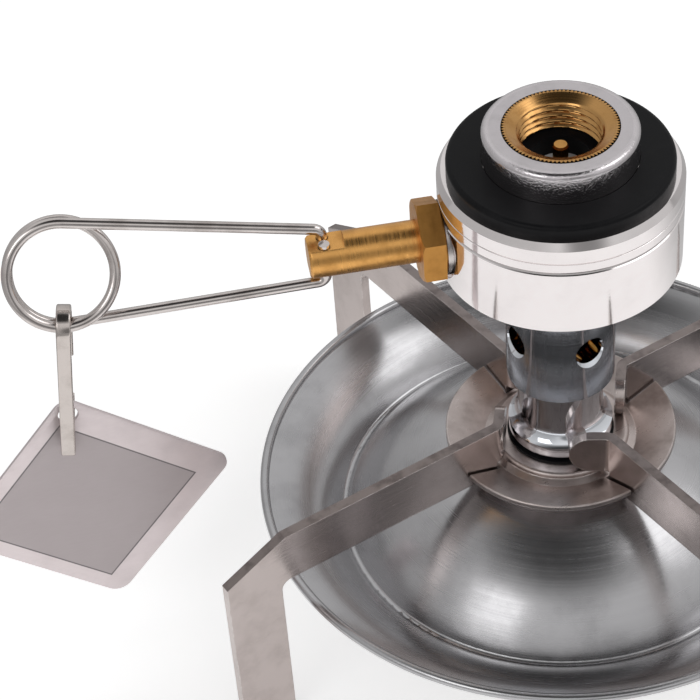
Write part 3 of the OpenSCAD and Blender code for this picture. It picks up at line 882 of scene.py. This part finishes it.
@dataclass
class Handle:
    """Needle spindle and the bent wire that turns it."""

    hole_u: float = 30.9
    hole_y: float = 0.93
    low: float = -3.55
    high: float = 3.5
    end: float = 2.65
    bend_r: float = 1.2
    bend_steps: int = 14
    coil_u: float = 64.25
    coil_t: float = 2.75
    coil_r: float = 6.82
    coil_steps: int = 220
    leg_steps: int = 12
    pitch: float = 2.15
    lean: float = 29.0
    tip: float = 0.45
    sides: int = 28

    def touch(self, side: float, leg: float) -> Span:
        """Finds where a leg meets the coil.

        Args:
            side: Distance of the leg's hole to the rear.
            leg: Height of the leg at the hole.

        Returns:
            The leg's slope to the coil's centre and the angle between that line and the leg, in degrees.
        """
        tilt, run = radians(self.lean), self.coil_u - self.hole_u
        rise = self.coil_t - side * sin(tilt) - leg * cos(tilt)
        return degrees(atan2(rise, run)), degrees(asin(self.coil_r / hypot(run, rise)))

    @property
    def ends(self) -> Span:
        """Angles at which the upper leg meets the coil and, a turn and a half on, the lower one."""
        slope, half = self.touch(self.hole_y, self.high)
        low_slope, low_half = self.touch(-self.hole_y, self.low)
        return -half - slope, 540.0 + low_half - low_slope

    def coil_point(self, angle: float) -> Vector:
        """Point of the coil.

        Args:
            angle: Angle along the winding in degrees.

        Returns:
            The point, measured outwards, rearwards and up from the spindle axis.
        """
        a, tilt = radians(angle), radians(self.lean)
        t = self.coil_t + self.coil_r * cos(a)
        n = self.pitch * (angle - sum(self.ends) / 2) / 360.0
        return Vector((self.coil_u + self.coil_r * sin(a), t * sin(tilt) + n * cos(tilt),
                       t * cos(tilt) - n * sin(tilt)))

    def corner(self, before: Vector, at: Vector, after: Vector) -> list[Vector]:
        """Rounds a corner of the path.

        Args:
            before: A point before the corner.
            at: The corner.
            after: A point after it.

        Returns:
            Points on the arc.
        """
        p, q = (before - at).normalized(), (after - at).normalized()
        half = acos(p.dot(q)) / 2
        middle = at + (p + q).normalized() * self.bend_r / sin(half)
        start, stop = at + p * self.bend_r / tan(half), at + q * self.bend_r / tan(half)
        x = (start - middle).normalized()
        w = ((stop - middle) - (stop - middle).dot(x) * x).normalized()
        turns = [(pi - 2 * half) * i / self.bend_steps for i in range(self.bend_steps + 1)]
        return [middle + self.bend_r * (cos(a) * x + sin(a) * w) for a in turns]

    def path(self) -> list[Vector]:
        """Lays out the wire's centre line.

        Returns:
            Points in millimetres in the frame of the part.
        """
        low_top, low_corner, high_corner, high_end = (
            Vector((self.hole_u, y, z)) for y, z in ((-self.hole_y, self.end), (-self.hole_y, self.low),
                                                     (self.hole_y, self.high), (self.hole_y, -self.end)))
        (first, last), steps = self.ends, self.coil_steps
        coil = [self.coil_point(last + (first - last) * i / steps) for i in range(steps + 1)]
        low_arc = self.corner(low_top, low_corner, coil[0])
        high_arc = self.corner(coil[-1], high_corner, high_end)
        legs = [[a.lerp(b, i / self.leg_steps) for i in range(1, self.leg_steps)] for a, b in
                ((low_top, low_arc[0]), (low_arc[-1], coil[0]), (coil[-1], high_arc[0]), (high_arc[-1], high_end))]
        run = [low_top, *legs[0], *low_arc, *legs[1], *coil, *legs[2], *high_arc, *legs[3], high_end]
        return [Vector((-p.x, p.y, SPINDLE_Z + p.z)) for p in run]

    def wire(self, finish: Material) -> Mesh:
        """Draws the wire along its path.

        Args:
            finish: Its material.

        Returns:
            The wire as a plain mesh.
        """
        run = self.path()
        tips = []
        for end, after in ((run[0], run[1]), (run[-1], run[-2])):
            reach = self.tip / (end - after).length
            tips.append([end.lerp(after, reach * (1.0 - sqrt(1.0 - s * s))) for s in DOME])
        run = [*tips[0], *run[1:-1], *reversed(tips[1])]
        base = line_of("wire_path", run)
        shares = [*DOME, *[1.0] * (len(run) - 2 * len(DOME)), *reversed(DOME)]
        for item, share in zip(base.attributes.new("swell", "FLOAT", "POINT").data, shares):
            item.value = max(share, DOME_LEAST)
        plan = GeometryPlan("drawn_wire")
        line = plan.node("MeshToCurve", {"Mesh": plan.start.outputs["Base"]})
        ring = plan.node("CurvePrimitiveCircle", {
            "Resolution": plan.size("Sides", "Int"), "Radius": plan.size("Radius")})
        lined, ringed = (
            plan.node("StoreNamedAttribute", {
                "Geometry": curve.outputs[0], "Name": name,
                "Value": plan.node("SplineParameter").outputs[measure]}, domain="POINT")
            for curve, name, measure in ((line, "along", "Length"), (ring, "around", "Factor")))
        swell = plan.node("InputNamedAttribute", {"Name": "swell"}, data_type="FLOAT")
        domed = plan.node("SetCurveRadius", {"Curve": lined.outputs[0], "Radius": swell.outputs["Attribute"]})
        return plan.run(base, plan.swept(domed, ringed), finish, Radius=WIRE_R * MM, Sides=self.sides)

    def build(self, finishes: Finishes) -> None:
        """Builds and dresses the handle."""
        finish = finishes["bright_wire"]
        wire = shade(self.wire(finish), 50.0)
        set_piece("finger_wire", wire, Body.HANDLE, ["handle_wire"], "bright_wire", finish)
        dress(finishes, spindle="rod_brass", spindle_o_ring="black_rubber")


def turned(angle: float, axis: str) -> Matrix:
    """Makes a turn in degrees about a named axis."""
    return Matrix.Rotation(radians(angle), 4, axis)


@dataclass
class HangingTag:
    """Folded strip and the square plate that hangs on it."""

    side: float = 28.0
    thick: float = 0.5
    corner_r: float = 2.2
    corner_steps: int = 10
    hole_d: float = 2.7
    hole_in: float = 2.2
    hole_steps: int = 48
    edge: float = 0.07
    face_up: float = 0.9
    yaw: float = 6.3
    roll: float = 229.2
    pivot: Place = (-66.6906, -1.44563, -30.0069)
    link_w: float = 1.9
    link_t: float = 0.6
    link_round: float = 0.26
    link_lean: float = 6.22911
    link_yaw: float = -6.0
    link_pivot: Place = (-64.99, -1.45847, -14.499)
    loop_r: float = 2.43
    fold_r: float = 0.57
    shelf_r: float = 0.6
    shelf: float = 1.0
    tail: float = 7.3
    drop: float = 15.6
    tip: float = 5.8
    hook: float = 2.6

    def plate(self) -> Mesh:
        """Cuts the plate, with its own map of its face.

        Returns:
            The plate in its place.
        """
        shape = bpy.data.curves.new("plate", "CURVE")
        shape.dimensions, shape.fill_mode = "2D", "BOTH"
        shape.extrude, shape.bevel_depth = self.thick / 2 - self.edge, self.edge
        shape.bevel_resolution, shape.offset = 2, -self.edge
        c, far = self.corner_r, self.side - self.corner_r
        corners = enumerate(((far, far), (c, far), (c, c), (far, c)))
        outline = [p for k, (x, y) in corners for p in arc(x, y, c, 90.0 * k, 90.0 * (k + 1), self.corner_steps)]
        hole = arc(self.hole_in, self.hole_in, self.hole_d / 2, 0.0, 360.0, self.hole_steps)[:-1]
        for run in (outline, hole):
            line = shape.splines.new("POLY")
            line.points.add(len(run) - 1)
            for point, (x, y) in zip(line.points, run):
                point.co = (x, y, 0.0, 1.0)
            line.use_cyclic_u = True
        made = plain_mesh(placed("plate_shape", shape))
        with opened(made, 1e-4) as work:
            table = work.loops.layers.uv.new("plate")
            for face in work.faces:
                face.material_index = int(face.normal.z > self.face_up)
                for loop in face.loops:
                    loop[table].uv = loop.vert.co.xy / self.side
        made.transform(Matrix.Scale(MM, 4) @ Matrix.Translation(self.pivot) @ turned(self.yaw, "Z")
                       @ turned(90.0, "X") @ turned(self.roll, "Z")
                       @ Matrix.Translation((-self.hole_in, -self.hole_in, 0.0)))
        return shade(made, 30.0)

    def fold(self) -> list[Span]:
        """Lays out the strip's centre line.

        Returns:
            Points frontwards and up from the middle of its loop.
        """
        m, u, s = self.loop_r, self.fold_r, self.shelf_r
        low, back = -self.drop - self.tip + self.link_t / 2 + u, m - 2 * u
        end = back - s - self.shelf
        return [(-m, -self.tail), (-m, -self.tail / 2), *arc(0.0, 0.0, m, 180.0, 0.0, 30),
                *((m, low * k / 10) for k in range(1, 10)), *arc(m - u, low, u, 0.0, -180.0, 16),
                *arc(back - s, -self.drop - s, s, 0.0, 90.0, 10), *arc(end, -self.drop + s, s, 270.0, 180.0, 10),
                (end - s, -self.drop + self.hook)]

    def strip(self, finish: Material) -> Mesh:
        """Folds the strip that hangs on the coil.

        Args:
            finish: Its material.

        Returns:
            The strip as a plain mesh.
        """
        turn = turned(self.link_yaw, "Z") @ turned(self.link_lean, "Y")
        hung = Matrix.Translation(self.link_pivot) @ turn
        base = line_of("strip_path", [hung @ Vector((0.0, -p, q)) for p, q in self.fold()])
        plan = GeometryPlan("folded_strip")
        line = plan.node("MeshToCurve", {"Mesh": plan.start.outputs["Base"]})
        held = plan.node("SetCurveNormal", {
            "Curve": line.outputs[0], "Normal": plan.size("Across", "Vector")}, mode="FREE")
        box = plan.node("CurvePrimitiveQuadrilateral", {"Width": plan.size("Width"), "Height": plan.size("Thickness")})
        soft = plan.node("FilletCurve", {
            "Curve": box.outputs[0], "Count": 5, "Radius": plan.size("Rounding")}, mode="POLY")
        return plan.run(base, plan.swept(held, soft), finish, Width=self.link_w * MM, Thickness=self.link_t * MM,
                        Rounding=self.link_round * MM, Across=tuple(turn @ Vector((1.0, 0.0, 0.0))))

    def build(self, finishes: Finishes) -> None:
        """Builds and dresses the tag."""
        set_piece("square_plate", self.plate(), Body.TAG, ["tag_plate"], "tag_steel", finishes["tag_steel"],
                  finishes["tag_print"])
        finish = finishes["nickel_strip"]
        strip = shade(self.strip(finish), 40.0)
        set_piece("hanger_strip", strip, Body.LINK, ["tag_link"], "bright_wire", finish)


@dataclass
class PotSupport:
    """Mixing tube, support ring and the four pot arms."""

    edge: float = 0.14
    least_up: float = 0.5
    most_across: float = 0.2

    def with_cut_edges(self, strip: Mesh, turn: float) -> Mesh:
        """Gives the sheared upper edges of an arm their own material.

        Args:
            strip: The arm's mesh.
            turn: Direction of the arm about Z, in degrees.

        Returns:
            The same mesh.
        """
        across = Vector((sin(radians(turn)), -cos(radians(turn)), 0.0))
        for face in strip.polygons:
            level = abs(face.normal.dot(across)) < self.most_across
            face.material_index = int(level and face.normal.z > self.least_up)
        return strip

    def build(self, finishes: Finishes) -> None:
        """Builds and dresses the support."""
        dress(finishes, mixing_tube="chromed_brass", flange_washer="black_rubber", support_ring="pressed_stainless")
        for number, turn in enumerate(ARM_TURNS * 2, 1):
            strip = self.with_cut_edges(softened(f"pot_arm_{number}", self.edge), turn)
            set_piece(f"arm_strip_{number}", strip, Body.BURNER, [f"pot_arm_{number}"], "stainless",
                      finishes[f"strip_stainless_{turn:.0f}"], finishes["sheared_edge"])


@dataclass
class BurnerHead:
    """Pan and the burner head under it."""

    def build(self, finishes: Finishes) -> None:
        """Dresses the head."""
        dress(finishes, burner_pan="spun_stainless", burner_base="brass", burner_cap="spun_stainless",
              burner_gauze="woven_gauze")


@dataclass(frozen=True)
class Lamp:
    """A square soft light that faces the burner, in metres and watts."""

    name: str
    place: Place
    side: float
    power: float
    aim: Place = (0.0, 0.0, -0.04)

    def build(self) -> None:
        """Hangs the lamp."""
        light = bpy.data.lights.new(self.name, "AREA")
        light.shape, light.size, light.energy = "SQUARE", self.side, self.power
        hung = placed(self.name, light)
        hung.location = self.place
        hung.rotation_mode = "QUATERNION"
        hung.rotation_quaternion = (Vector(self.aim) - Vector(self.place)).to_track_quat("-Z", "Y")


@dataclass
class Studio:
    """White floor, soft light and the camera of the picture.

    The eye is in millimetres; the floor, its sheet and the clipping are in metres. Walls are pairs of height and grey.
    """

    eye: Place = (-53.397, -230.419, 188.891)
    right: Place = (0.98492, -0.16235, -0.05979)
    up: Place = (0.154316, 0.668125, 0.727871)
    lens: float = 122.904
    sensor: float = 36.0
    clip: Span = (0.01, 20.0)
    floor_r: float = 4.0
    floor_sides: int = 96
    floor_grey: float = 0.86
    camera_glow: float = 0.50
    mirror_glow: float = 0.45
    sheet_middle: Place = (-0.02, -0.08, FLOOR_Z * MM)
    sheet_r: Span = (0.11, 0.175)
    sheet_off: float = 0.42
    ceiling_lean: float = -0.11
    walls: tuple[Span, ...] = ((0.0, 0.62), (0.30, 0.66), (0.82, 0.84), (0.89, 0.38), (0.95, 0.06), (1.0, 0.04))
    front: Place = (0.137, -0.981, 0.139)
    front_span: Span = (0.88, 0.985)
    front_shade: float = 0.6
    left_span: Span = (-0.1, -0.6)
    left_shade: float = 0.3
    lamps: tuple[Lamp, ...] = (Lamp("right", (0.70, -0.07, 0.86), 0.60, 1.6),
                               Lamp("left", (-0.68, -0.57, 0.62), 0.45, 1.1))

    def floor_paint(self) -> Material:
        """Makes the floor's white, which mirrors see darker away from the burner and which is clear from below.

        Returns:
            The material.
        """
        paint = Recipe("floor_white")
        path = paint.node("LightPath").outputs
        far = paint.vector_of("LENGTH", paint.vector_of("SUBTRACT", paint.place, self.sheet_middle))
        off = paint.ranged(far, *self.sheet_r, 0.0, self.sheet_off - 1.0)
        kept = paint.calc("MULTIPLY_ADD", path["Is Glossy Ray"], off, 1.0)
        mirrored = paint.calc("MULTIPLY", path["Is Glossy Ray"], self.mirror_glow)
        lift = paint.calc("MULTIPLY_ADD", path["Is Camera Ray"], self.camera_glow, mirrored)
        matt = paint.node("BsdfDiffuse", {"Color": paint.mixed(kept, (0.0, 0.0, 0.0), (self.floor_grey,) * 3)})
        glow = paint.node("Emission", {"Strength": paint.calc("MULTIPLY", lift, kept)})
        both = paint.node("AddShader", {0: matt.outputs[0], 1: glow.outputs[0]})
        seen = paint.node("MixShader", {
            0: paint.node("NewGeometry").outputs["Backfacing"], 1: both.outputs[0],
            2: paint.node("BsdfTransparent").outputs[0]})
        paint.feed(paint.end.inputs["Surface"], seen.outputs[0])
        paint.material.cycles.emission_sampling = "NONE"
        return paint.material

    def floor(self) -> None:
        """Lays the floor."""
        count, level = self.floor_sides, FLOOR_Z * MM
        rim = [(x, y, level) for x, y in arc(0.0, 0.0, self.floor_r, 0.0, 360.0, count)[:-1]]
        mesh = bpy.data.meshes.new("floor")
        mesh.from_pydata([(0.0, 0.0, level), *rim], [], [(0, 1 + i, 1 + (i + 1) % count) for i in range(count)])
        mesh.materials.append(self.floor_paint())
        laid = placed("floor", mesh)

    def surroundings(self) -> None:
        """Sets pale walls that reach higher behind, a dark ceiling, and less light on the left and low in front."""
        world = bpy.data.worlds.new("studio")
        bpy.context.scene.world = world
        world.use_nodes = True
        sheet = NodeSheet(world.node_tree)
        place = sheet.node("TexCoord").outputs["Generated"]
        x, y, z = sheet.parts(place)
        ramp = sheet.node("ValToRGB", {0: sheet.calc("MULTIPLY_ADD", y, self.ceiling_lean, z)})
        stops = ramp.color_ramp.elements
        while len(stops) < len(self.walls):
            stops.new(0.5)
        for stop, (height, grey) in zip(stops, self.walls):
            stop.position, stop.color = height, (grey, grey, grey, 1.0)
        facing = sheet.vector_of("DOT_PRODUCT", place, self.front)
        dark = sheet.ranged(facing, *self.front_span, 0.0, self.front_shade)
        left = sheet.ranged(x, *self.left_span, 0.0, self.left_shade)
        kept = sheet.ranged(sheet.calc("MAXIMUM", dark, left), 0.0, 1.0, 1.0, 0.0)
        direct = sheet.node("LightPath").outputs["Is Camera Ray"]
        light = sheet.node("Background", {
            "Color": sheet.mixed(direct, ramp.outputs[0], (1.0, 1.0, 1.0)),
            "Strength": sheet.calc("MAXIMUM", kept, direct)})
        sheet.node("OutputWorld", {"Surface": light.outputs[0]})

    def camera(self) -> None:
        """Sets the camera where the picture was taken from."""
        data = bpy.data.cameras.new("camera")
        data.lens, data.sensor_width, data.sensor_fit = self.lens, self.sensor, "HORIZONTAL"
        data.clip_start, data.clip_end = self.clip
        held = placed("camera", data)
        right, up = Vector(self.right), Vector(self.up)
        turn = Matrix((right, up, right.cross(up))).transposed().to_4x4()
        held.matrix_world = Matrix.Translation(Vector(self.eye) * MM) @ turn
        bpy.context.scene.camera = held

    def build(self) -> None:
        """Builds the studio."""
        self.floor()
        self.surroundings()
        for lamp in self.lamps:
            lamp.build()
        self.camera()
        bpy.context.scene.view_settings.view_transform = "Standard"


def main() -> None:
    """Builds the burner and its studio."""
    logging.basicConfig(level=logging.INFO, format="%(name)s: %(message)s")
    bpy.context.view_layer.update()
    finishes = {finish.name: finish.make() for finish in FINISHES}
    for assembly in (GasInlet(), ValveHousing(), Handle(), HangingTag(), PotSupport(), BurnerHead()):
        assembly.build(finishes)
    Studio().build()


if __name__ == "__main__":
    main()
